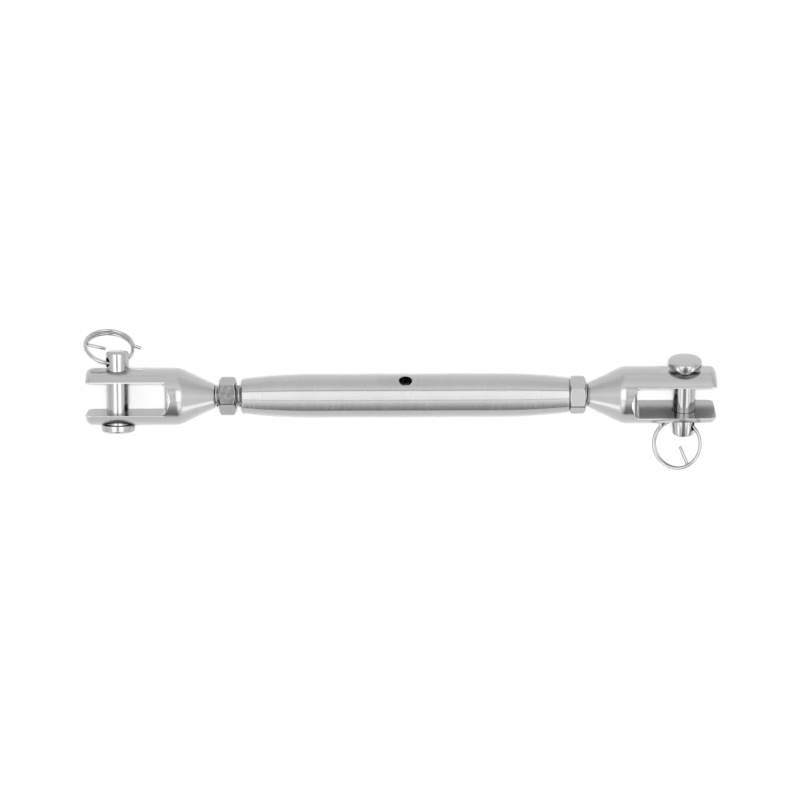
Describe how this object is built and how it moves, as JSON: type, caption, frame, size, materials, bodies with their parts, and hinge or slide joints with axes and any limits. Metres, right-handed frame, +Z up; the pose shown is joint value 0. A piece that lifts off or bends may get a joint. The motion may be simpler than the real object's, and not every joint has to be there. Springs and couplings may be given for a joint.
{
  "type": "turnbuckle",
  "caption": "Closed-body turnbuckle with a round barrel, a clevis fork at each end, lock nuts, headed clevis pins and sprung cotter rings.",
  "frame": {"origin": "on the barrel's axis, in the middle of its cross hole", "axes": "+X along the barrel towards the right fork, +Z up from the surface that the turnbuckle lies on, +Y away from a viewer in front"},
  "size_m": [0.3425, 0.0778, 0.0315],
  "materials": {
    "barrel_steel": "polished, with fine brushing round the barrel",
    "fork_steel": "satin",
    "nut_steel": "satin",
    "pin_steel": "mirror polished",
    "ring_steel": "bright drawn wire"
  },
  "bodies": {
    "left_lock_nut": {"left_lock_nut": "nut_steel"},
    "barrel": {"barrel": "barrel_steel"},
    "left_fork": {"left_fork": "fork_steel"},
    "right_fork": {"right_fork": "fork_steel"},
    "right_lock_nut": {"right_lock_nut": "nut_steel"},
    "left_clevis_pin": {"left_clevis_pin": "pin_steel"},
    "right_clevis_pin": {"right_clevis_pin": "pin_steel"},
    "left_cotter_ring": {"left_cotter_ring": "ring_steel"},
    "right_cotter_ring": {"right_cotter_ring": "ring_steel"}
  },
  "joints": [
    {"name": "barrel_spin", "type": "hinge", "parent": "left_lock_nut", "child": "barrel", "pos_m": [0, 0, 0], "axis": [1, 0, 0], "range_deg": [-180, 9000]},
    {"name": "left_fork_slide", "type": "slide", "parent": "left_lock_nut", "child": "left_fork", "axis": [-1, 0, 0], "range_m": [-0.00088, 0.04375]},
    {"name": "right_fork_slide", "type": "slide", "parent": "left_lock_nut", "child": "right_fork", "axis": [1, 0, 0], "range_m": [-0.00088, 0.04375]},
    {"name": "right_nut_slide", "type": "slide", "parent": "right_fork", "child": "right_lock_nut", "axis": [-1, 0, 0], "range_m": [-0.00088, 0.04375]},
    {"name": "left_pin_turn", "type": "hinge", "parent": "left_fork", "child": "left_clevis_pin", "pos_m": [-0.1559, 0, 0], "axis": [0, 0.9877, 0.1564], "continuous": true},
    {"name": "right_pin_turn", "type": "hinge", "parent": "right_fork", "child": "right_clevis_pin", "pos_m": [0.151, 0, 0], "axis": [0, -0.9135, -0.4067], "continuous": true},
    {"name": "left_ring_swing", "type": "hinge", "parent": "left_clevis_pin", "child": "left_cotter_ring", "pos_m": [-0.1559, 0.01883, 0.00298], "axis": [-0.9056, -0.0664, 0.419], "range_deg": [-130, 30]},
    {"name": "right_ring_swing", "type": "hinge", "parent": "right_clevis_pin", "child": "right_cotter_ring", "pos_m": [0.151, -0.01612, -0.00718], "axis": [0.9128, -0.1661, 0.373], "range_deg": [-2, 104]}
  ],
  "couplings": [
    {"joint": "barrel_spin", "follows": "left_fork_slide", "rad_per_m": 3590.4},
    {"joint": "right_fork_slide", "follows": "left_fork_slide", "ratio": 1},
    {"joint": "right_nut_slide", "follows": "left_fork_slide", "ratio": 1}
  ]
}
